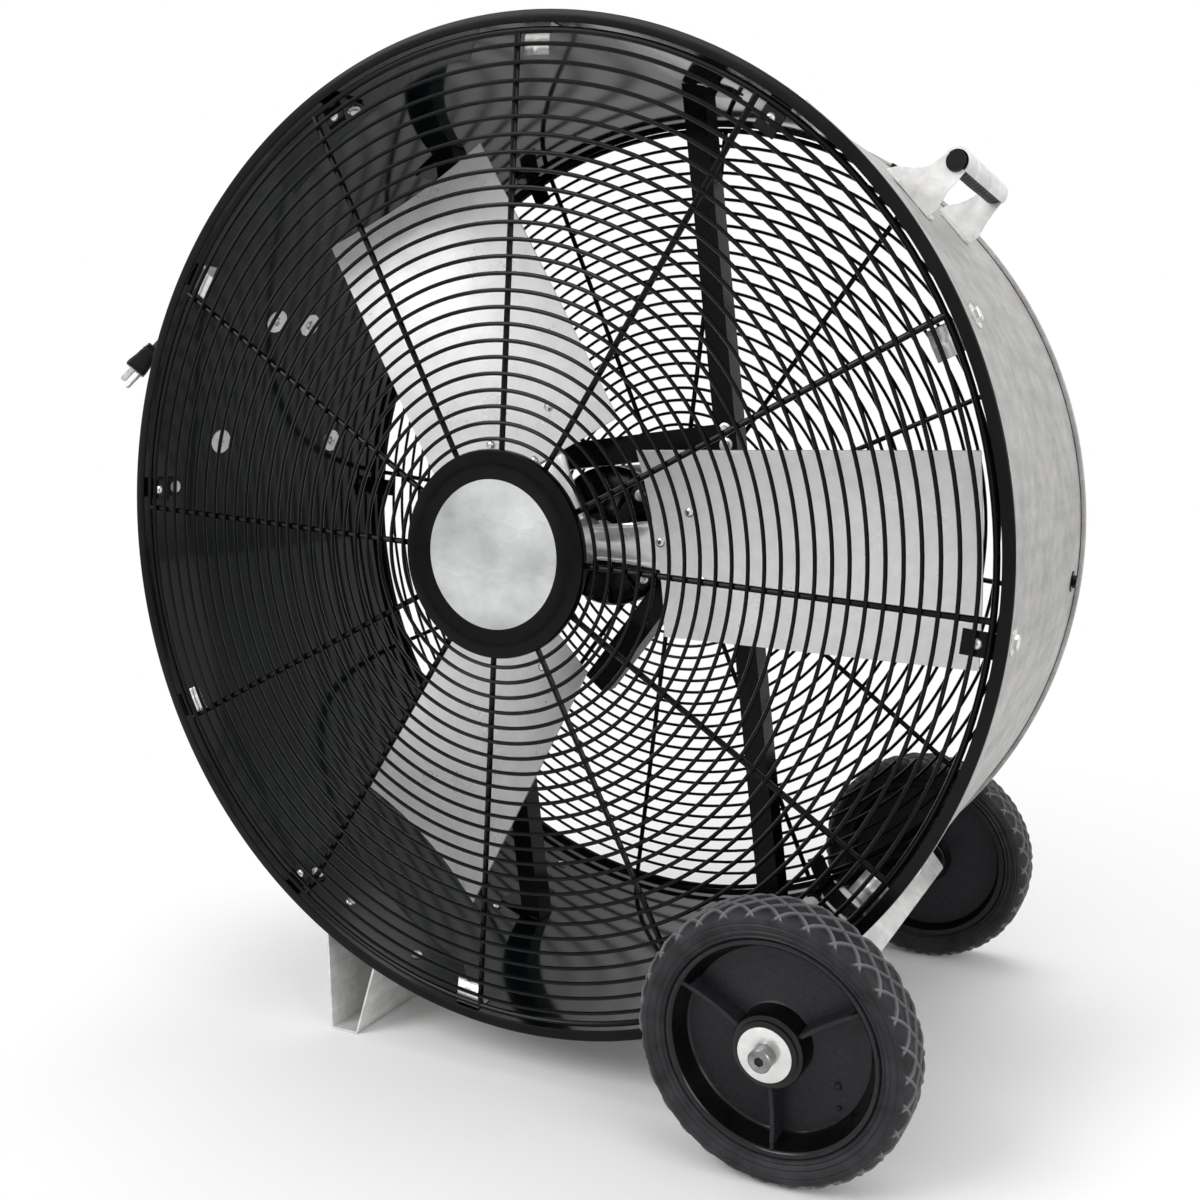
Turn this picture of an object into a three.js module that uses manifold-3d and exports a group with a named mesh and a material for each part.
// A portable drum fan: a sheet-metal drum with a wire guard at each end, a three-bladed rotor on
// its motor, a carrying handle, two wheels and a foot. Millimetres, +Z up. The air leaves at the
// front, towards -Y, and the drum's axis lies along Y. Angles round the drum are in degrees from
// +X towards +Z. The origin is on the floor, under the middle of the fan without its cord.
import * as THREE from 'three';
import { mergeVertices } from 'three/addons/utils/BufferGeometryUtils.js';
import Module from 'manifold-3d';

const wasm = await Module();
wasm.setup();

// ---- Driving dimensions ----

// Gap between two pieces that touch, and running gap of what turns.
const seat = 0.3;

// Drum: rolled sheet with a hemmed rim at each end.
const drumDepth = 425.6;
const shellRadius = 490;
const sheet = 2;
const rimLip = 5;
const rimHem = 11;
const rimSheet = 3;
const rimLength = 9;
const roundSteps = 60;

// Guards: concentric wires in front of radial spokes, held by clips on the drum's inside.
const spokeCount = 12;
const frontSpokeAngle = -6.3;
const rearSpokeAngle = -9.6;
const spokeWire = 6;
const ringWire = 4;
const weldDepth = 0.5;
const innerRing = 112;
const ringPitch = 77;
const ringCount = 5;
const centreRing = 38;
const outerRingInset = 9;
const fineRingShare = 0.6;
const clipLag = 2.5;
const clipInset = 1.2;
const clipWidth = 22;
const clipReach = 32;
const clipLeg = 20;

// Badge: a shallow round pan over the middle of the front guard.
const badgeRadius = 102.5;
const badgeRaise = 5;
const badgeSheet = 1.5;
const badgeEase = 2;
const badgeSteps = 40;

// Rotor: three riveted paddle blades on a cast spider.
const bladeCount = 3;
const bladeAngle = -2.7;
const bladeRoot = 97;
const tipClearance = 52;
const rootHalfChord = 100.7;
const tipHalfChord = 104.6;
const bladeSheet = 2;
const bladeCamber = 14;
const rootTrailing = -99;
const rootLeading = -31;
const tipTrailing = -78.7;
const tipLeading = -39.6;
const armSheet = 3;
const armStart = 18;
const armEnd = 168;
const armHalfStart = 20;
const armHalfEnd = 46;
const collarRadius = 27;
const collarFront = -112;
const collarBack = -34;
const shaftRadius = 9.5;
const shaftShort = 2;

// Motor: a round shell between two end bells.
const motorRadius = 80;
const motorFront = 4;
const motorLength = 160;
const motorWall = 3;
const bellDepth = 22;
const bellBossFace = 8;
const bellBossWall = 6;
const bellDish = 7;
const bellShoulder = 11;
const bellCorner = 6;
const bellHollow = 14;
const bellHollowInset = 10;
const bearingInset = 4;
const bearingRadius = 20;
const bearingWidth = 14;
const statorBore = 46;
const coreRadius = 45;
const coreLength = 90;

// Motor frame: two upright channels, a cross bar over the motor and a slanted bar under it.
const frameRoll = 4.1;
const strutSpacing = 320;
const strutWidth = 25;
const strutFront = 10;
const strutDepth = 28;
const strutWall = 2.5;
const footPlate = 38;
const footPlateSheet = 3;
const footPlateGap = 2;
const footPlateLap = 4;
const barHeight = 30;
const slantAngle = -40.7;
const slantTail = 144;

// Foot: a hat channel along the drum's depth.
const footLength = 406;
const footSheet = 2.5;
const footLeftAngle = 237.94;
const footRightAngle = 246.73;
const soleLeft = -5.6;
const soleRight = -33.8;
const footFlange = 25;

// Axle, its channel on the drum, and the two wheels.
const axleOffset = 26.52;
const axleAngle = -54.097;
const axleRadius = 7.9;
const wheelRadius = 127;
const wheelWidth = 51;
const wheelTrack = 525.8;
const tireHeight = 28;
const hubLength = 56;
const hubBoss = 30;
const hubRim = 6;
const webFront = 2;
const webBack = -5;
const webEdge = 10;
const webRoot = 1;
const bossFlare = 5;
const bossFlareBack = 3;
const bossBack = -9;
const tireBead = 6;
const tireShoulder = 3;
const tireWall = 12;
const crownCorner = 5;
const crownInset = 12;
const washerSheet = 1.6;
const washerRadius = 25;
const capLength = 12;
const capRadius = 11;
const capRecess = 3;
const channelLength = 396;
const channelWidth = 70;
const channelHeight = 43;
const channelSheet = 2.5;
const channelLip = 16;
const channelTrim = 1;

// Handle: a bent sheet with two legs, curled over a round grip.
const handleAngle = 38.3;
const handleFront = -94;
const handleRear = 72;
const handleSheet = 2.5;
const gripOffset = 48;
const gripRadius = 10;
const gripProud = 4;
const handleFlange = 22;
const handleFlangeShort = 10;
const frontLegLow = 18;
const frontLegHigh = 40;
const rearLegLow = 20;
const rearLegHigh = 27;

// A leg's edges, as height on the drum and share of its spread there that is left.
const legLowEdge = [[0, 1], [10, 1.05], [26, 0.75]];
const legHighEdge = [[29, 0.12], [19, 0.38], [9, 0.8], [0, 1]];
const legNeck = [4, 8];

// Switch box on the left of the drum, with its rotary switch, knob and gland.
const boxAngle = 147;
const boxMiddle = -22.8;
const boxLength = 110;
const boxWidth = 70;
const boxHeight = 40;
const boxSheet = 2;
const switchRadius = 14;
const switchHeight = 22;
const knobRadius = 17;
const knobHeight = 14;
const knobStem = 3;
const stemDepth = 12;
const stemLap = 2;
const pointerWidth = 5;
const pointerHeight = 4;
const pointerInset = 2;
const glandRadius = 11;
const glandLength = 20;
const glandBase = 8;
const glandStep = 4;

// Mains cord, wound on two cleats below the switch box.
const cordDiameter = 9;
const cordSides = 8;
const coilAngle = 165.2;
const coilMiddle = 4.2;
const cleatSpacing = 212;
const cleatWidth = 30;
const cleatSheet = 2.5;
const cleatFoot = 16;
const cleatLip = 30;
const coilTurns = 4;
const coilGap = 0.8;
const coilBend = 27;
const coilStart = -78;
const coilEnd = -38;
const coilSides = 6;
const loopSteps = 24;

// Plug: a moulded body with two blades and a round earth pin.
const plugAt = [-510.5, -148.5, 237.5];
const plugWay = [-0.45, -0.54, -0.71];
const plugLength = 36;
const plugWidth = 27;
const plugHeight = 24;
const plugTaper = 0.62;
const plugFlare = 1.5;
const prongLength = 18;
const prongSheet = 1.5;
const prongWidth = 6.4;
const prongRaise = 2;
const prongRoot = 2;
const pinRadius = 2.4;
const pinExtra = 5;
const pinInset = 5;
const prongSpacing = 12.7;

// Motor lead from the motor up the left channel and out to the switch box.
const leadDiameter = 7;
const leadHole = 5;
const leadExit = 62;

// Reach of a cut past what it cuts, and of one joined form into another.
const over = 1;

// ---- Sizes that follow ----

const rad = THREE.MathUtils.degToRad;
const { lerp } = THREE.MathUtils;
const halfDepth = drumDepth / 2;
const shellBore = shellRadius - sheet;
const onShell = shellRadius + seat;
const rimRadius = shellRadius + rimLip;
const outerRing = shellBore - outerRingInset;
const bladeTip = shellBore - tipClearance;
const axleRadial = shellRadius + axleOffset;
const axleX = axleRadial * Math.cos(rad(axleAngle));
const axleZ = axleRadial * Math.sin(rad(axleAngle));
const axisHeight = wheelRadius - axleZ;
const tireBore = wheelRadius - tireHeight;
const footLeftTop = onShell * Math.cos(rad(footLeftAngle));
const footRightTop = onShell * Math.cos(rad(footRightAngle));
const footLeft = footLeftTop + soleLeft;
const footRight = footRightTop + soleRight;

// ---- Materials ----

const paint = (color, roughness, metalness) => new THREE.MeshStandardMaterial({ color, roughness, metalness });
const galvanised = paint(0xb9b7b4, 0.45, 0.8);
const blackPaint = paint(0x111314, 0.35, 0.3);
const drumPaint = paint(0xaeb0b0, 0.5, 0.7);
const aluminium = paint(0xc9cbcd, 0.28, 1);
const castGrey = paint(0x8f9294, 0.4, 1);
const steel = paint(0xa8aaac, 0.3, 1);
const zinc = paint(0xdcdcd8, 0.35, 0.9);
const rubber = paint(0x202122, 0.85, 0);
const charcoal = paint(0x3a3c3e, 0.55, 0.1);
const softBlack = paint(0x161616, 0.6, 0);
const badgeFinish = paint(0x9fb4c8, 0.3, 0.4);
const copper = paint(0x9a5a34, 0.5, 0.8);

// ---- Geometry helpers ----

// A closed three.js geometry as a solid that can be joined and cut.
function solid(geometry) {
  const bare = geometry.index ? geometry.clone() : mergeVertices(geometry);
  bare.deleteAttribute('normal');
  bare.deleteAttribute('uv');
  const merged = mergeVertices(bare, 1e-4);
  const index = merged.index.array;
  const kept = [];
  for (let i = 0; i < index.length; i += 3) {
    const [a, b, c] = index.slice(i, i + 3);
    if (a !== b && b !== c && c !== a) kept.push(a, b, c);
  }
  return new wasm.Manifold(new wasm.Mesh({
    numProp: 3,
    vertProperties: new Float32Array(merged.attributes.position.array),
    triVerts: new Uint32Array(kept),
  }));
}

// Several overlapping geometries or solids joined into one solid.
function join(...pieces) {
  const solids = pieces.map((piece) => (piece.isBufferGeometry ? solid(piece) : piece));
  return solids.reduce((whole, piece) => whole.add(piece));
}

// The one mesh of a sub-part, from a geometry or a solid.
function part(name, shape, material) {
  let geometry = shape;
  if (!shape.isBufferGeometry) {
    const { vertProperties, triVerts } = shape.getMesh();
    geometry = new THREE.BufferGeometry();
    geometry.setAttribute('position', new THREE.BufferAttribute(new Float32Array(vertProperties), 3));
    geometry.setIndex(new THREE.BufferAttribute(new Uint32Array(triVerts), 1));
    geometry.computeVertexNormals();
  }
  const mesh = new THREE.Mesh(geometry, material);
  mesh.name = name;
  return mesh;
}

// A body turned about the Y axis from a closed outline of [radius, y] points.
function turned(outline, steps = roundSteps) {
  const points = outline.map(([radius, y]) => new THREE.Vector2(radius, y));
  return new THREE.LatheGeometry([...points, points[0].clone()], steps);
}

// A washer or tube about the Y axis; a bore of zero gives a solid disc.
function ring(bore, radius, y0, y1, steps = roundSteps) {
  if (bore > 0) return turned([[bore, y0], [radius, y0], [radius, y1], [bore, y1]], steps);
  const points = [[0, y0], [radius, y0], [radius, y1], [0, y1]].map(([r, y]) => new THREE.Vector2(r, y));
  return new THREE.LatheGeometry(points, steps);
}

// A box given by its lowest and highest corners.
function block([x0, y0, z0], [x1, y1, z1]) {
  return new THREE.BoxGeometry(x1 - x0, y1 - y0, z1 - z0).translate((x0 + x1) / 2, (y0 + y1) / 2, (z0 + z1) / 2);
}

// An outline in the XZ plane, thickened from y0 to y1.
function sheetXZ(outline, y0, y1) {
  const isList = Array.isArray(outline);
  const shape = isList ? new THREE.Shape(outline.map(([x, z]) => new THREE.Vector2(x, z))) : outline;
  const plate = new THREE.ExtrudeGeometry(shape, { depth: y1 - y0, bevelEnabled: false, curveSegments: 8 });
  return plate.rotateX(Math.PI / 2).translate(0, y1, 0);
}

// Turns a piece built at the drum's +X side, with x radial and z along the rim, to an angle.
function around(piece, angle) {
  return piece.isBufferGeometry ? piece.rotateY(-rad(angle)) : piece.rotate([0, -angle, 0]);
}

// A point on the drum at an angle, from its radial, rim-wise and y distances.
function drumPoint(angle, radial, along, y) {
  const cos = Math.cos(rad(angle));
  const sin = Math.sin(rad(angle));
  return new THREE.Vector3(radial * cos - along * sin, y, radial * sin + along * cos);
}

// A round cord along a smooth curve through its points.
function cordTube(points, diameter, steps) {
  const curve = new THREE.CatmullRomCurve3(points);
  const section = new THREE.Shape();
  for (let i = 0; i < cordSides; i += 1) {
    const turn = ((i + 0.5) / cordSides) * 2 * Math.PI;
    const corner = [Math.cos(turn) * (diameter / 2), Math.sin(turn) * (diameter / 2)];
    if (i === 0) section.moveTo(...corner);
    else section.lineTo(...corner);
  }
  return new THREE.ExtrudeGeometry(section, { steps, extrudePath: curve, bevelEnabled: false });
}

const fan = new THREE.Group();
fan.name = 'drum_fan';

// Everything below is placed from the middle of the drum's axis.
const drum = new THREE.Group();
drum.position.z = axisHeight;
fan.add(drum);

// What is left of a piece outside the drum, with the seating gap, once it is turned to its place.
const drumBody = solid(ring(0, onShell, -halfDepth, halfDepth));
const onDrum = (piece, angle) => around(piece, angle).subtract(drumBody);

// ---- Drum ----

// The rim is an angle ring: a flat face over the end of the shell and a lip round its outside.
function rim(side) {
  const face = side * halfDepth;
  const web = side * (halfDepth - rimSheet);
  const back = side * (halfDepth - rimLength);
  const outline = [
    [rimRadius - rimHem, web], [rimRadius - rimHem, face], [rimRadius, face], [rimRadius, back],
    [onShell, back], [onShell, web],
  ];
  return turned(side > 0 ? outline.reverse() : outline);
}

const shellEnd = halfDepth - rimSheet - seat;
const strutMiddle = strutFront + (strutDepth + strutWall) / 2;
const leadBore = new THREE.CylinderGeometry(leadHole, leadHole, shellRadius, 16).rotateX(Math.PI / 2);
leadBore.translate(-strutSpacing / 2, strutMiddle, shellRadius);
const shell = solid(ring(shellBore, shellRadius, -shellEnd, shellEnd));
drum.add(part('drum_shell', shell.subtract(solid(around(leadBore, frameRoll))), drumPaint));
drum.add(part('front_rim', solid(rim(-1)), blackPaint));
drum.add(part('rear_rim', solid(rim(1)), blackPaint));

// ---- Guards, clips and badge ----

const spokeFace = halfDepth - ringWire + weldDepth;
const spokeBack = spokeFace - spokeWire;

// One welded guard: wires on the outside of the spokes, both joined to the outer ring.
function guard(side, hubRing, spokeAngle) {
  const pieces = [];
  const wire = (radius, size, y, steps) => {
    const half = size / 2;
    pieces.push(ring(radius - half, radius + half, y - half, y + half, steps));
  };
  const spokeY = side * (spokeFace - spokeWire / 2);
  const ringY = side * (halfDepth - ringWire / 2);
  wire(outerRing, spokeWire, spokeY, spokeCount * 4);
  wire(hubRing, ringWire, ringY, spokeCount * 2);
  for (let i = 0; i < ringCount; i += 1) {
    const radius = innerRing + i * ringPitch;
    if (radius > hubRing) wire(radius, ringWire, ringY, spokeCount * (radius < outerRing * fineRingShare ? 2 : 3));
  }
  for (let i = 0; i < spokeCount; i += 1) {
    const half = spokeWire / 2;
    const spoke = block([hubRing - half, spokeY - half, -half], [outerRing, spokeY + half, half]);
    pieces.push(around(spoke, (i * 360) / spokeCount));
  }
  return around(join(...pieces), spokeAngle);
}

drum.add(part('front_guard', guard(-1, centreRing, frontSpokeAngle), blackPaint));
drum.add(part('rear_guard', guard(1, innerRing, rearSpokeAngle), blackPaint));

// An L-shaped clip: one leg on the drum's inside, the other behind the guard.
function clip(side, angle) {
  const wall = shellBore - clipInset;
  const guardFace = side * (spokeBack - seat);
  const guardBack = side * (spokeBack - seat - sheet);
  const legEnd = side * (spokeBack - seat - clipLeg);
  const span = (a, b) => [Math.min(a, b), Math.max(a, b)];
  const [f0, f1] = span(guardFace, guardBack);
  const [l0, l1] = span(guardFace, legEnd);
  const half = clipWidth / 2;
  const face = block([wall - clipReach, f0, -half], [wall, f1, half]);
  const leg = block([wall - sheet, l0, -half], [wall, l1, half]);
  return around(join(face, leg), angle);
}

const clipsPerGuard = spokeCount / 2;
for (let i = 0; i < clipsPerGuard; i += 1) {
  const step = (i * 360) / clipsPerGuard;
  drum.add(part(`front_clip_${i + 1}`, clip(-1, frontSpokeAngle + step - clipLag), blackPaint));
  drum.add(part(`rear_clip_${i + 1}`, clip(1, rearSpokeAngle + step + clipLag), blackPaint));
}

// The badge is a pan: its skirt stands on the spokes and its face is in front of the wires.
const badgeFront = -(halfDepth + badgeRaise);
const badgeSeat = -(spokeFace + seat);
const badgeOutline = [
  [0, badgeFront], [badgeRadius - badgeEase, badgeFront], [badgeRadius, badgeFront + badgeEase],
  [badgeRadius, badgeSeat], [badgeRadius - badgeSheet, badgeSeat],
  [badgeRadius - badgeSheet, badgeFront + badgeSheet],
  [0, badgeFront + badgeSheet],
].map(([radius, y]) => new THREE.Vector2(radius, y));
drum.add(part('badge_plate', solid(new THREE.LatheGeometry(badgeOutline, badgeSteps)), badgeFinish));

// ---- Rotor ----

// Height along Y of a blade's middle surface: s outwards from the shaft, c across the chord.
function bladeSurface(s, c) {
  const out = (s - bladeRoot) / (bladeTip - bladeRoot);
  const half = lerp(rootHalfChord, tipHalfChord, out);
  const trailing = lerp(rootTrailing, tipTrailing, out);
  const leading = lerp(rootLeading, tipLeading, out);
  const across = c / half;
  return (trailing + leading) / 2 + (across * (trailing - leading)) / 2 + bladeCamber * (1 - across * across);
}

// A sheet that follows the blade's surface at a distance behind it, from s0 to s1.
function bladeSheetPiece(s0, s1, half0, half1, thickness, behind, rows, columns) {
  const plate = new THREE.BoxGeometry(1, thickness, 2, rows, 1, columns);
  const place = plate.attributes.position;
  for (let i = 0; i < place.count; i += 1) {
    const out = place.getX(i) + 0.5;
    const s = lerp(s0, s1, out);
    const c = place.getZ(i) * lerp(half0, half1, out);
    place.setXYZ(i, s, bladeSurface(s, c) + behind + place.getY(i), c);
  }
  return plate;
}

const armBehind = (bladeSheet + armSheet) / 2 + seat;
const hubPieces = [ring(shaftRadius + seat, collarRadius, collarFront, collarBack, 24)];
for (let i = 0; i < bladeCount; i += 1) {
  const angle = bladeAngle + (i * 360) / bladeCount;
  const blade = bladeSheetPiece(bladeRoot, bladeTip, rootHalfChord, tipHalfChord, bladeSheet, 0, 6, 6);
  drum.add(part(`fan_blade_${i + 1}`, solid(around(blade, angle)), aluminium));
  const arm = bladeSheetPiece(armStart, armEnd, armHalfStart, armHalfEnd, armSheet, armBehind, 4, 4);
  hubPieces.push(around(arm, angle));
}
drum.add(part('fan_hub', join(...hubPieces), castGrey));

// ---- Motor ----

const motorBack = motorFront + motorLength;
const motorMiddle = (motorFront + motorBack) / 2;
const motorSteps = 20;
const shellStart = motorFront + bellDepth + seat;
const shellStop = motorBack - bellDepth - seat;

// An end bell: a dished plate with a boss that holds the bearing.
function bell(face, side) {
  const boss = bearingRadius + seat;
  const depth = (distance) => face + side * distance;
  const outline = [
    [boss, depth(0)], [boss + bellBossFace, depth(0)], [motorRadius - bellCorner, depth(bellDish)],
    [motorRadius, depth(bellShoulder)], [motorRadius, depth(bellDepth)],
    [motorRadius - motorWall, depth(bellDepth)], [motorRadius - bellHollowInset, depth(bellHollow)],
    [boss + bellBossWall, depth(bellShoulder)], [boss + bellBossWall, depth(bellDepth)],
    [boss, depth(bellDepth)],
  ];
  return turned(side < 0 ? outline.reverse() : outline, motorSteps);
}

drum.add(part('motor_front_bell', solid(bell(motorFront, 1)), blackPaint));
drum.add(part('motor_rear_bell', solid(bell(motorBack, -1)), blackPaint));
const motorBore = motorRadius - motorWall;
drum.add(part('motor_shell', solid(ring(motorBore, motorRadius, shellStart, shellStop, motorSteps)), blackPaint));
const statorStart = motorMiddle - coreLength / 2;
const statorStop = motorMiddle + coreLength / 2;
const stator = ring(statorBore, motorBore - seat, statorStart, statorStop, motorSteps);
drum.add(part('motor_stator', solid(stator), copper));
const core = ring(shaftRadius + seat, coreRadius - seat, statorStart, statorStop, motorSteps);
drum.add(part('motor_core', solid(core), castGrey));
const bearings = [['front', motorFront + bearingInset], ['rear', motorBack - bearingInset - bearingWidth]];
for (const [name, start] of bearings) {
  const bearing = ring(shaftRadius + seat, bearingRadius, start, start + bearingWidth, motorSteps);
  drum.add(part(`motor_bearing_${name}`, solid(bearing), steel));
}
drum.add(part('motor_shaft', solid(ring(0, shaftRadius, collarFront, motorBack - shaftShort, motorSteps)), steel));

// ---- Motor frame ----

// The disc that fills the drum's bore, less the seating gap: it trims what ends at the wall.
const bore = solid(ring(0, shellBore - seat, -halfDepth, halfDepth));
const strutBack = strutFront + strutDepth;

// An upright channel, open at the rear, trimmed to the drum, with a plate under each end.
function strut(side) {
  const x0 = (side * strutSpacing) / 2 - strutWidth / 2;
  const x1 = x0 + strutWidth;
  const outline = [
    [x0, strutFront], [x1, strutFront], [x1, strutBack], [x1 - strutWall, strutBack],
    [x1 - strutWall, strutFront + strutWall], [x0 + strutWall, strutFront + strutWall],
    [x0 + strutWall, strutBack], [x0, strutBack],
  ].map(([x, y]) => new THREE.Vector2(x, y));
  const options = { depth: 2 * shellRadius, bevelEnabled: false };
  const channel = new THREE.ExtrudeGeometry(new THREE.Shape(outline), options).translate(0, 0, -shellRadius);
  let whole = around(solid(channel), frameRoll).intersect(bore);
  const reach = Math.sqrt(shellBore ** 2 - (strutSpacing / 2) ** 2);
  const plateStart = strutWidth / 2 - footPlateLap;
  const plateTop = shellBore - footPlateGap;
  for (const end of [-1, 1]) {
    const endAngle = THREE.MathUtils.radToDeg(Math.atan2(end * reach, (side * strutSpacing) / 2)) + frameRoll;
    const outwards = -side * end;
    const plate = block(
      [plateTop - footPlateSheet, strutFront, Math.min(outwards * plateStart, outwards * (plateStart + footPlate))],
      [plateTop, strutBack, Math.max(outwards * plateStart, outwards * (plateStart + footPlate))],
    );
    whole = whole.add(around(solid(plate), endAngle));
  }
  return whole.intersect(bore);
}

drum.add(part('strut_left', strut(-1), blackPaint));
drum.add(part('strut_right', strut(1), blackPaint));

// The bars are tangent to the motor: one level, above it, and one slanted, below on the right.
const barStart = motorRadius + seat;
const barReach = strutSpacing / 2 - strutWidth / 2 - seat;
const crossBar = block([-barReach, strutFront, barStart], [barReach, strutBack, barStart + barHeight]);
drum.add(part('motor_cross_bar', solid(around(crossBar, frameRoll)), blackPaint));

function slantBar() {
  const turn = rad(slantAngle - frameRoll);
  const out = new THREE.Vector2(Math.cos(turn), Math.sin(turn));
  const along = new THREE.Vector2(-out.y, out.x);
  const corner = (distance, run) => [out.x * distance + along.x * run, out.y * distance + along.y * run];
  const toStrut = (distance) => (barReach - out.x * distance) / along.x;
  const far = barStart + barHeight;
  const outline = [
    corner(barStart, -slantTail), corner(far, -slantTail), corner(far, toStrut(far)),
    corner(barStart, toStrut(barStart)),
  ];
  return around(solid(sheetXZ(outline, strutFront, strutBack)), frameRoll);
}
drum.add(part('motor_slant_bar', slantBar(), blackPaint));

// ---- Foot ----

// Height below the axis at which the shell's outside lies, at a distance from the middle.
const underShell = (x) => -Math.sqrt(onShell ** 2 - x ** 2);

// Hat section: a flange along the drum on each side, two walls and a flat sole on the floor.
function foot() {
  const t = footSheet;
  const flange = (x, way, lift) => {
    const angle = Math.atan2(underShell(x), x) + way * (footFlange / onShell);
    const radius = onShell + lift;
    return [radius * Math.cos(angle), radius * Math.sin(angle)];
  };
  const outline = [
    flange(footLeftTop, -1, 0), flange(footLeftTop, -0.5, 0), [footLeftTop + t, underShell(footLeftTop + t)],
    [footLeft + t, -axisHeight + t], [footRight - t, -axisHeight + t],
    [footRightTop - t, underShell(footRightTop - t)], flange(footRightTop, 0.5, 0), flange(footRightTop, 1, 0),
    flange(footRightTop, 1, t), flange(footRightTop, 0.5, t), [footRightTop, underShell(footRightTop) - t],
    [footRight, -axisHeight], [footLeft, -axisHeight], [footLeftTop, underShell(footLeftTop) - t],
    flange(footLeftTop, -0.5, t), flange(footLeftTop, -1, t),
  ];
  return sheetXZ(outline, -footLength / 2, footLength / 2);
}
drum.add(part('foot_channel', solid(foot()), galvanised));

// ---- Axle, its channel and the wheels ----

const wheelSteps = 30;
const axleSteps = 18;

// Lipped channel on the drum, closed by an end plate that carries the axle at each end.
function axleChannel() {
  const t = channelSheet;
  const half = channelWidth / 2;
  const top = shellRadius + channelHeight;
  const low = onShell * Math.cos(Math.asin(half / onShell)) - channelTrim;
  const inside = onShell + t - channelTrim;
  const outline = [
    [low, -half], [top, -half], [top, half], [low, half], [low, half - channelLip],
    [inside, half - channelLip], [inside, half - t], [top - t, half - t], [top - t, -half + t],
    [inside, -half + t], [inside, -half + channelLip], [low, -half + channelLip],
  ];
  const end = channelLength / 2;
  const plateHalf = half - over;
  const plateTop = top - over;
  const plate = [
    [onShell + t, -plateHalf], [plateTop, -plateHalf], [plateTop, plateHalf], [onShell + t, plateHalf],
  ];
  const hole = ring(0, axleRadius + seat, -end - over, end + over, 24).translate(axleRadial, 0, 0);
  const walls = join(sheetXZ(outline, -end, end), sheetXZ(plate, -end, -end + t), sheetXZ(plate, end - t, end));
  return onDrum(walls.subtract(solid(hole)), axleAngle);
}
drum.add(part('axle_channel', axleChannel(), galvanised));

const onAxle = (geometry) => solid(geometry.translate(axleX, 0, axleZ));
const hubFace = (wheelTrack + hubLength) / 2;
const axleEnd = hubFace + washerSheet + 2 * seat + capLength - capRecess;
const shoulderStart = channelLength / 2 + seat;
const shoulderEnd = hubFace - hubLength - seat;
const shoulder = (a, b) => ring(axleRadius - over, capRadius, a, b, axleSteps);
const axle = join(
  ring(0, axleRadius, -axleEnd, axleEnd, axleSteps),
  shoulder(-shoulderEnd, -shoulderStart),
  shoulder(shoulderStart, shoulderEnd),
);
drum.add(part('axle', axle.translate([axleX, 0, axleZ]), steel));

// Moulded hub: a boss on the axle, a dished web and the seat for the tyre.
function wheelHub(side) {
  const bend = (distance) => side * distance;
  const rimSeat = tireBore - seat;
  const half = wheelWidth / 2;
  const outline = [
    [axleRadius + seat, bend(-hubLength / 2)], [hubBoss, bend(-hubLength / 2)],
    [hubBoss + bossFlareBack, bend(bossBack)], [rimSeat - webEdge, bend(webBack)],
    [rimSeat - hubRim, bend(-half + hubRim)], [rimSeat, bend(-half + hubRim)],
    [rimSeat, bend(half - hubRim)], [rimSeat - hubRim, bend(half - hubRim)],
    [rimSeat - webEdge, bend(webFront)], [hubBoss + bossFlare, bend(webRoot)],
    [hubBoss, bend(hubLength / 2)], [axleRadius + seat, bend(hubLength / 2)],
  ];
  return turned(side < 0 ? outline.reverse() : outline, wheelSteps);
}

// Tyre with rounded shoulders and flat-crowned tread.
function tire() {
  const half = wheelWidth / 2;
  return turned([
    [tireBore, -half + tireBead], [tireBore + tireBead, -half + tireShoulder],
    [wheelRadius - tireWall, -half], [wheelRadius - crownCorner, -half + tireShoulder],
    [wheelRadius, -half + crownInset], [wheelRadius, half - crownInset],
    [wheelRadius - crownCorner, half - tireShoulder], [wheelRadius - tireWall, half],
    [tireBore + tireBead, half - tireShoulder], [tireBore, half - tireBead],
  ], wheelSteps);
}

for (const [name, side] of [['front', -1], ['rear', 1]]) {
  const middle = (side * wheelTrack) / 2;
  const outside = (from, to) => [Math.min(side * from, side * to), Math.max(side * from, side * to)];
  drum.add(part(`wheel_hub_${name}`, onAxle(wheelHub(side).translate(0, middle, 0)), charcoal));
  drum.add(part(`wheel_tire_${name}`, onAxle(tire().translate(0, middle, 0)), rubber));
  const washer = outside(hubFace + seat, hubFace + seat + washerSheet);
  drum.add(part(`wheel_washer_${name}`, onAxle(ring(axleRadius + seat, washerRadius, ...washer, axleSteps)), zinc));
  const collar = outside(hubFace + 2 * seat + washerSheet, hubFace + 2 * seat + washerSheet + capLength);
  drum.add(part(`axle_collar_${name}`, onAxle(ring(axleRadius + seat, capRadius, ...collar, axleSteps)), steel));
}

// ---- Handle ----

const gripRadial = shellRadius + gripOffset;
const curlInside = gripRadius + seat;
const curlOutside = curlInside + handleSheet;

// A leg's outline: broad on the drum, drawn in towards the grip.
function legOutline(low, high) {
  return [
    ...legLowEdge.map(([up, share]) => [onShell + up, -low * share]),
    [gripRadial - legNeck[0], -curlOutside], [gripRadial, -curlOutside],
    [gripRadial, curlOutside], [gripRadial - legNeck[1], curlOutside],
    ...legHighEdge.map(([up, share]) => [onShell + up, lerp(curlOutside, high, share)]),
  ];
}

// The sheet's curl: a half tube round the grip's outer side.
function curl() {
  const shape = new THREE.Shape();
  shape.absarc(gripRadial, 0, curlOutside, -Math.PI / 2, Math.PI / 2, false);
  shape.absarc(gripRadial, 0, curlInside, Math.PI / 2, -Math.PI / 2, true);
  return sheetXZ(shape, handleFront, handleRear);
}

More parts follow.
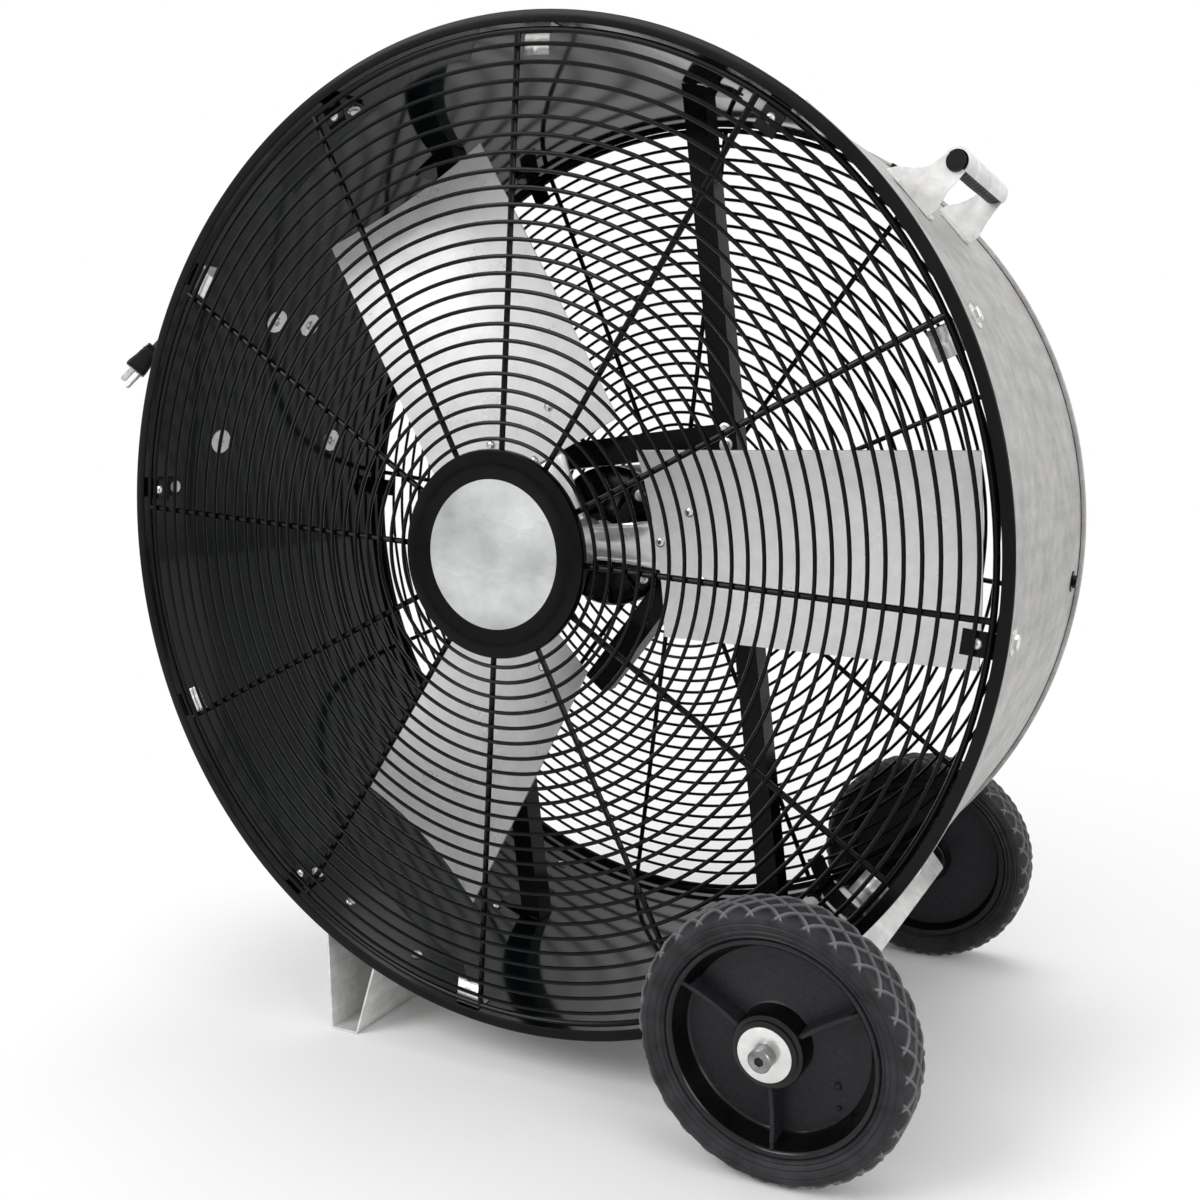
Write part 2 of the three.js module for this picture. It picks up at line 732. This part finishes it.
function handle() {
  const legs = [
    [handleFront, frontLegLow, frontLegHigh, 1],
    [handleRear - handleSheet, rearLegLow, rearLegHigh, -1],
  ];
  const pieces = [solid(curl())];
  for (const [y, low, high, inwards] of legs) {
    const y1 = y + handleSheet;
    pieces.push(solid(sheetXZ(legOutline(low, high), y, y1)));
    const near = inwards > 0 ? y : y1 - handleFlange;
    const flangeEnd = [onShell + handleSheet, near + handleFlange, high - handleFlangeShort];
    pieces.push(solid(block([onShell, near, -low], flangeEnd)));
  }
  const hole = ring(0, curlInside, handleFront - over, handleRear + over, 24).translate(gripRadial, 0, 0);
  return onDrum(join(...pieces).subtract(solid(hole)), handleAngle);
}
drum.add(part('handle_bracket', handle(), galvanised));
const grip = ring(0, gripRadius, handleFront - gripProud, handleRear + gripProud, 16);
drum.add(part('handle_grip', solid(around(grip.translate(gripRadial, 0, 0), handleAngle)), softBlack));

// ---- Switch box ----

const boxFloor = onShell;
const boxTop = boxFloor + boxHeight;
const boxFront = boxMiddle - boxLength / 2;
const boxRear = boxMiddle + boxLength / 2;
const boxHalf = boxWidth / 2;
const coverTop = boxTop + seat + boxSheet;
const stemBottom = coverTop - boxSheet - stemDepth;

const outerBox = solid(block([boxFloor, boxFront, -boxHalf], [boxTop, boxRear, boxHalf]));
const innerBox = solid(block(
  [boxFloor + boxSheet, boxFront + boxSheet, -boxHalf + boxSheet],
  [boxTop + over, boxRear - boxSheet, boxHalf - boxSheet],
));
drum.add(part('switch_box', around(outerBox.subtract(innerBox), boxAngle), blackPaint));

// Round pieces of the switch stand on the box's floor, so they are turned from Y to radial.
const standing = (geometry) => geometry.rotateZ(-Math.PI / 2).translate(0, boxMiddle, 0);
const cover = solid(block([boxTop + seat, boxFront, -boxHalf], [coverTop, boxRear, boxHalf]));
const stemHole = solid(standing(ring(0, knobStem + seat, boxTop - over, coverTop + over, 16)));
drum.add(part('switch_cover', around(cover.subtract(stemHole), boxAngle), blackPaint));
const switchStart = boxTop - switchHeight;
const switchBody = solid(standing(ring(0, switchRadius, switchStart, boxTop, 16)));
const stemSocket = solid(standing(ring(0, knobStem + seat, stemBottom - seat, boxTop + over, 16)));
drum.add(part('speed_switch', around(switchBody.subtract(stemSocket), boxAngle), softBlack));
const knobStart = coverTop + seat;
const knobTop = knobStart + knobHeight;
const pointerHalf = knobRadius - pointerInset;
const knob = join(
  standing(ring(0, knobRadius, knobStart, knobTop, 20)),
  standing(ring(0, knobStem, stemBottom, knobStart + stemLap, 12)),
  block(
    [knobTop - over, boxMiddle - pointerHalf, -pointerWidth / 2],
    [knobTop + pointerHeight, boxMiddle + pointerHalf, pointerWidth / 2],
  ),
);
drum.add(part('speed_knob', around(knob, boxAngle), softBlack));

// The gland stands on the box's lower side and the cord leaves its mouth.
const glandRadial = boxFloor + boxHeight / 2;
const glandStart = boxHalf + seat;
const glandMouth = glandStart + glandLength;
const glandAxis = (geometry) => geometry.rotateX(Math.PI / 2).translate(glandRadial, boxMiddle, 0);
const gland = join(
  glandAxis(ring(0, glandRadius, glandStart, glandStart + glandBase, 16)),
  glandAxis(ring(0, glandRadius - glandStep, glandStart + glandBase - over, glandMouth, 16)),
);
drum.add(part('cord_gland', around(gland, boxAngle), softBlack));

// ---- Cord cleats, winding, lead and plug ----

const cordRadius = cordDiameter / 2;
const coilBase = onShell + cordRadius;
const coilPitch = cordDiameter + coilGap;
const cleatFace = cleatSpacing / 2;
const bendInside = coilBend - cordRadius - seat;
const bendMiddle = cleatFace - Math.sqrt(bendInside ** 2 - (cleatWidth / 2) ** 2);
const lipBottom = coilBase + coilTurns * coilPitch + cordRadius + seat;

// A cleat: a foot on the drum, an upright leg, and a lip that keeps the turns on it.
function cleat(side) {
  const half = cleatWidth / 2;
  const from = (a, b) => [Math.min(side * a, side * b) + coilMiddle, Math.max(side * a, side * b) + coilMiddle];
  const slab = (low, high, [y0, y1]) => block([low, y0, -half], [high, y1, half]);
  return around(join(
    slab(onShell, onShell + cleatSheet, from(cleatFace - cleatFoot, cleatFace)),
    slab(onShell, lipBottom + cleatSheet, from(cleatFace - cleatSheet, cleatFace)),
    slab(lipBottom, lipBottom + cleatSheet, from(cleatFace - cleatSheet, cleatFace + cleatLip)),
  ), coilAngle);
}
drum.add(part('cord_cleat_front', cleat(-1), galvanised));
drum.add(part('cord_cleat_rear', cleat(1), galvanised));

// The winding is a rising racetrack round both cleats, one turn on top of the other. Distance
// along it is counted from the middle of the upper run, towards the front.
const runLength = 2 * bendMiddle;
const bendLength = Math.PI * coilBend;
const turnLength = 2 * (runLength + bendLength);

function coilPoint(distance) {
  const level = coilBase + (distance / turnLength) * coilPitch;
  let rest = ((distance % turnLength) + turnLength + runLength / 2) % turnLength;
  let y = bendMiddle - rest;
  let along = -coilBend;
  if (rest > runLength) {
    rest -= runLength;
    const turn = Math.min(rest, bendLength) / coilBend;
    y = -bendMiddle - coilBend * Math.sin(turn);
    along = -coilBend * Math.cos(turn);
    if (rest > bendLength) {
      rest -= bendLength;
      y = -bendMiddle + Math.min(rest, runLength);
      if (rest > runLength) {
        rest -= runLength;
        y = bendMiddle + coilBend * Math.sin(rest / coilBend);
        along = coilBend * Math.cos(rest / coilBend);
      }
    }
  }
  return drumPoint(coilAngle, level, along, y + coilMiddle);
}

// Distances of the points of one turn: even steps round each bend, fewer along the runs.
function coilDistances() {
  const bendSteps = 8;
  const runSteps = loopSteps / 2 - bendSteps;
  const stops = [];
  for (const [start, length, steps] of [
    [-runLength / 2, runLength, runSteps], [runLength / 2, bendLength, bendSteps],
    [runLength / 2 + bendLength, runLength, runSteps], [1.5 * runLength + bendLength, bendLength, bendSteps],
  ]) {
    for (let i = 0; i < steps; i += 1) stops.push(start + (i * length) / steps);
  }
  const first = -(coilStart - coilMiddle);
  const last = coilTurns * turnLength - (coilEnd - coilMiddle);
  const all = [first, first + cordDiameter];
  for (let turn = 0; turn <= coilTurns; turn += 1) {
    for (const stop of stops) {
      const distance = turn * turnLength + stop;
      if (distance > first + 2 * cordDiameter && distance < last - 2 * cordDiameter) all.push(distance);
    }
  }
  return [...all, last - cordDiameter, last];
}

// A tube round a line of points, its section carried along without twisting.
function sweptTube(points, diameter, sides) {
  const rows = [];
  let across = new THREE.Vector3(1, 0, 0);
  points.forEach((point, i) => {
    const before = points[Math.max(i - 1, 0)];
    const after = points[Math.min(i + 1, points.length - 1)];
    const way = after.clone().sub(before).normalize();
    across = across.clone().addScaledVector(way, -across.dot(way)).normalize();
    const up = way.clone().cross(across);
    for (let k = 0; k < sides; k += 1) {
      const turn = (k / sides) * 2 * Math.PI;
      const out = across.clone().multiplyScalar(Math.cos(turn)).addScaledVector(up, Math.sin(turn));
      rows.push(...point.clone().addScaledVector(out, diameter / 2).toArray());
    }
  });
  const faces = [];
  for (let i = 0; i + 1 < points.length; i += 1) {
    for (let k = 0; k < sides; k += 1) {
      const a = i * sides + k;
      const b = i * sides + ((k + 1) % sides);
      faces.push(a, b, b + sides, a, b + sides, a + sides);
    }
  }
  const end = (points.length - 1) * sides;
  for (let k = 1; k + 1 < sides; k += 1) faces.push(0, k + 1, k, end, end + k, end + k + 1);
  const tube = new THREE.BufferGeometry();
  tube.setAttribute('position', new THREE.BufferAttribute(new Float32Array(rows), 3));
  tube.setIndex(faces);
  return tube;
}

const coilStops = coilDistances();
const coilPoints = coilStops.map(coilPoint);
drum.add(part('cord_coil', solid(sweptTube(coilPoints, cordDiameter, coilSides)), softBlack));

// Least gap of the winding to itself, on points a diameter or more apart along it.
function selfGap() {
  const far = 3 * cordDiameter;
  const fine = [];
  for (let d = coilStops[0]; d < coilStops.at(-1); d += cordRadius) fine.push([d, coilPoint(d)]);
  let least = Infinity;
  for (const [d, p] of fine) {
    for (const [e, q] of fine) {
      if (e - d > far) least = Math.min(least, p.distanceTo(q));
    }
  }
  return least - cordDiameter;
}
console.log(`winding: least gap to itself ${selfGap().toFixed(2)} mm`);

// A point just past one end of the winding, so that two cord ends meet face to face.
function pastEnd(end, next, distance) {
  return end.clone().addScaledVector(end.clone().sub(next).normalize(), distance);
}

// Supply lead: from the gland's mouth down to the start of the winding.
const leadPoints = [
  drumPoint(boxAngle, glandRadial, glandMouth + seat, boxMiddle),
  drumPoint(boxAngle, glandRadial, glandMouth + seat + cordDiameter, boxMiddle),
  new THREE.Vector3(-469.6, -23.4, 209.5),
  new THREE.Vector3(-472.9, -25.8, 194),
  new THREE.Vector3(-473.9, -30.7, 178.7),
  new THREE.Vector3(-473.6, -39, 165.5),
  new THREE.Vector3(-473, -51.4, 156.3),
  pastEnd(coilPoints[0], coilPoints[1], seat + cordDiameter),
  pastEnd(coilPoints[0], coilPoints[1], seat),
];
drum.add(part('cord_lead', solid(cordTube(leadPoints, cordDiameter, 12)), softBlack));

// Tail: from the end of the winding over an arch to the plug, which points down and outwards.
const plugHead = new THREE.Vector3(...plugAt);
const plugAxis = new THREE.Vector3(...plugWay).normalize();
const tailPoints = [
  pastEnd(coilPoints.at(-1), coilPoints.at(-2), seat),
  pastEnd(coilPoints.at(-1), coilPoints.at(-2), seat + cordDiameter),
  new THREE.Vector3(-509.9, -60, 165.1),
  new THREE.Vector3(-508.1, -70.8, 171.2),
  new THREE.Vector3(-504.5, -78.9, 180.2),
  new THREE.Vector3(-498.7, -83.3, 191.2),
  new THREE.Vector3(-490.4, -83.2, 203.3),
  new THREE.Vector3(-478.7, -83.9, 225),
  new THREE.Vector3(-477.2, -93.5, 243.4),
  new THREE.Vector3(-483.1, -108.9, 255),
  new THREE.Vector3(-493.7, -126.6, 256.3),
  plugHead.clone().addScaledVector(plugAxis, -seat - cordDiameter),
  plugHead.clone().addScaledVector(plugAxis, -seat),
];
drum.add(part('cord_tail', solid(cordTube(tailPoints, cordDiameter, 14)), softBlack));

// The plug widens from its neck to its face; two flat blades and a round earth pin stand out.
function plug() {
  const body = new THREE.BoxGeometry(plugWidth, plugHeight, plugLength, 1, 1, 3);
  const place = body.attributes.position;
  for (let i = 0; i < place.count; i += 1) {
    const out = place.getZ(i) / plugLength + 0.5;
    const width = lerp(plugTaper, 1, Math.min(1, out * plugFlare));
    place.setXYZ(i, place.getX(i) * width, place.getY(i) * width, place.getZ(i) + plugLength / 2);
  }
  const end = plugLength + prongLength;
  const root = plugLength - prongRoot;
  const blade = (x) => block(
    [x - prongSheet / 2, prongRaise - prongWidth / 2, root],
    [x + prongSheet / 2, prongRaise + prongWidth / 2, end],
  );
  const pinLength = prongLength + pinExtra;
  const pin = new THREE.CylinderGeometry(pinRadius, pinRadius, pinLength, 10).rotateX(Math.PI / 2);
  pin.translate(0, pinInset - plugHeight / 2, root + pinLength / 2);
  return join(body, blade(-prongSpacing / 2), blade(prongSpacing / 2), pin);
}
const plugMesh = part('plug', plug(), softBlack);
plugMesh.position.copy(plugHead);
plugMesh.lookAt(plugHead.clone().add(plugAxis));
drum.add(plugMesh);

// Motor lead: from the motor's shell into the left channel, up inside it, through the hole in the
// drum and round its outside to the switch box.
const strutLeft = -strutSpacing / 2;
const boxEntry = (along) => drumPoint(boxAngle - frameRoll, onShell + boxHeight / 2, along, boxMiddle);
const motorLeadPoints = [
  new THREE.Vector3(-(motorRadius + seat), leadExit, 0),
  new THREE.Vector3(-(motorRadius + seat) - leadDiameter, leadExit, 0),
  new THREE.Vector3(-112, 61, 8),
  new THREE.Vector3(-136, 55, 28),
  new THREE.Vector3(-152, 45, 58),
  new THREE.Vector3(strutLeft, 32, 92),
  new THREE.Vector3(strutLeft, strutMiddle, 130),
  new THREE.Vector3(strutLeft, strutMiddle, 230),
  new THREE.Vector3(strutLeft, strutMiddle, 330),
  new THREE.Vector3(strutLeft, strutMiddle, 430),
  new THREE.Vector3(strutLeft, strutMiddle, 466),
  new THREE.Vector3(-162, 25, 477),
  new THREE.Vector3(-168, 25, 486),
  new THREE.Vector3(-177, 25, 492),
  new THREE.Vector3(-188, 24, 494),
  new THREE.Vector3(-198, 23, 492),
  new THREE.Vector3(-222, 18, 482),
  new THREE.Vector3(-246, 11, 466),
  new THREE.Vector3(-270, 3, 445),
  new THREE.Vector3(-296, -6, 419),
  new THREE.Vector3(-324, -14, 391),
  new THREE.Vector3(-350, -20, 368),
  boxEntry(-boxWidth / 2 - seat - leadDiameter),
  boxEntry(-boxWidth / 2 - seat),
];
drum.add(part('motor_lead', solid(around(cordTube(motorLeadPoints, leadDiameter, 40), frameRoll)), softBlack));

// ---- Origin ----

// The frame stands on the floor; its middle is that of the fan without the free cord.
const cordNames = ['cord_lead', 'cord_coil', 'cord_tail', 'plug'];
fan.updateMatrixWorld(true);
const box = new THREE.Box3();
fan.traverse((node) => {
  if (node.isMesh && !cordNames.includes(node.name)) box.expandByObject(node, true);
});
drum.position.x = -(box.min.x + box.max.x) / 2;
drum.position.y = -(box.min.y + box.max.y) / 2;
console.log(`shift of the drum's axis: ${drum.position.x.toFixed(3)}, ${drum.position.y.toFixed(3)} mm`);

export default fan;
